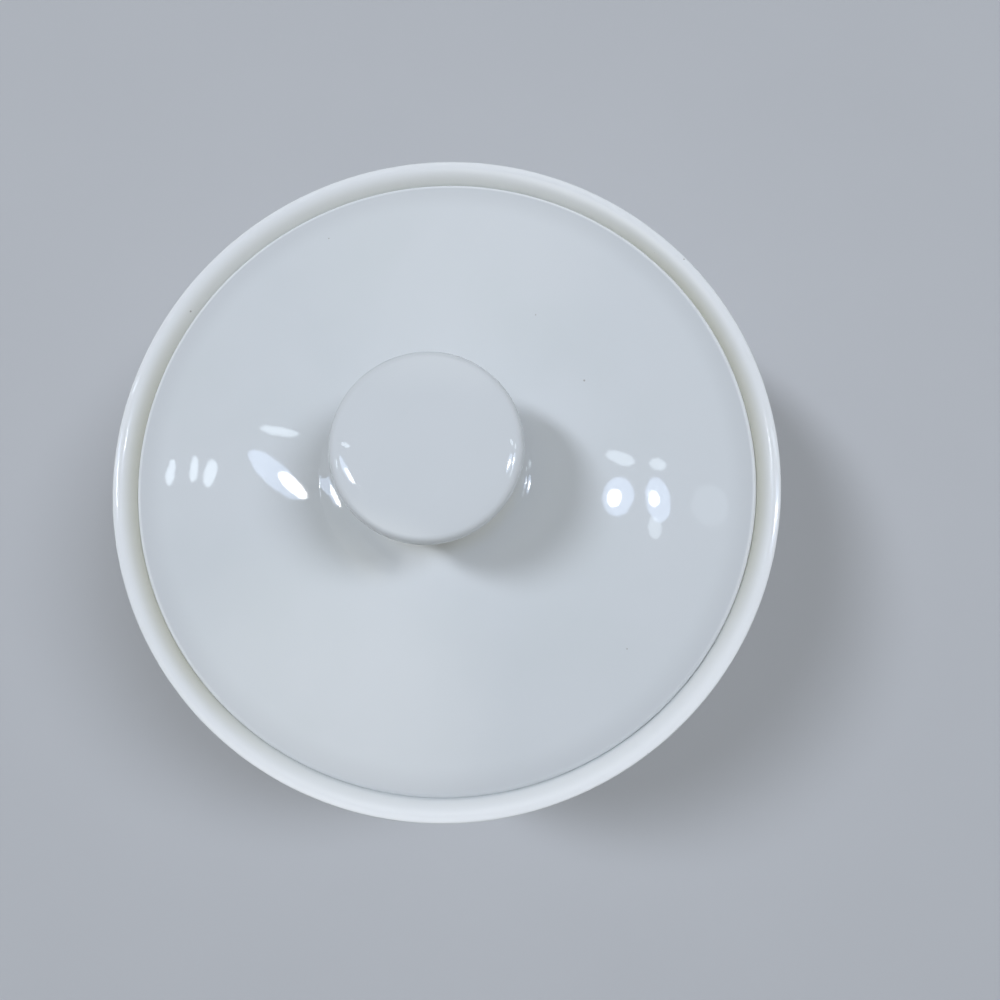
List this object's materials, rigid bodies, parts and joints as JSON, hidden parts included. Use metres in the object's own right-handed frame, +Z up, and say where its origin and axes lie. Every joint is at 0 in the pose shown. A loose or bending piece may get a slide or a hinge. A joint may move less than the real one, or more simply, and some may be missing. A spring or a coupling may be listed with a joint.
{
  "type": "covered sugar bowl",
  "caption": "Round footed ceramic bowl for sugar, with an inset domed lid that rests on a ledge inside the rim and lifts by a mushroom knob.",
  "frame": {"origin": "centre of the foot ring's resting face, on the table", "axes": "+Z up along the bowl's axis of revolution, the way the lid lifts; +X to the right and +Y to the back in the picture's upright view"},
  "size_m": [0.1, 0.1, 0.0883],
  "materials": {
    "bowl_glaze": "glossy white glaze",
    "lid_glaze": "glossy white glaze",
    "knob_glaze": "glossy white glaze"
  },
  "bodies": {
    "bowl": {"bowl": "bowl_glaze"},
    "lid": {"lid": "lid_glaze", "knob": "knob_glaze"}
  },
  "joints": [
    {"name": "lid_lift", "type": "slide", "parent": "bowl", "child": "lid", "axis": [0, 0, 1], "range_m": [0, 0.08]}
  ]
}
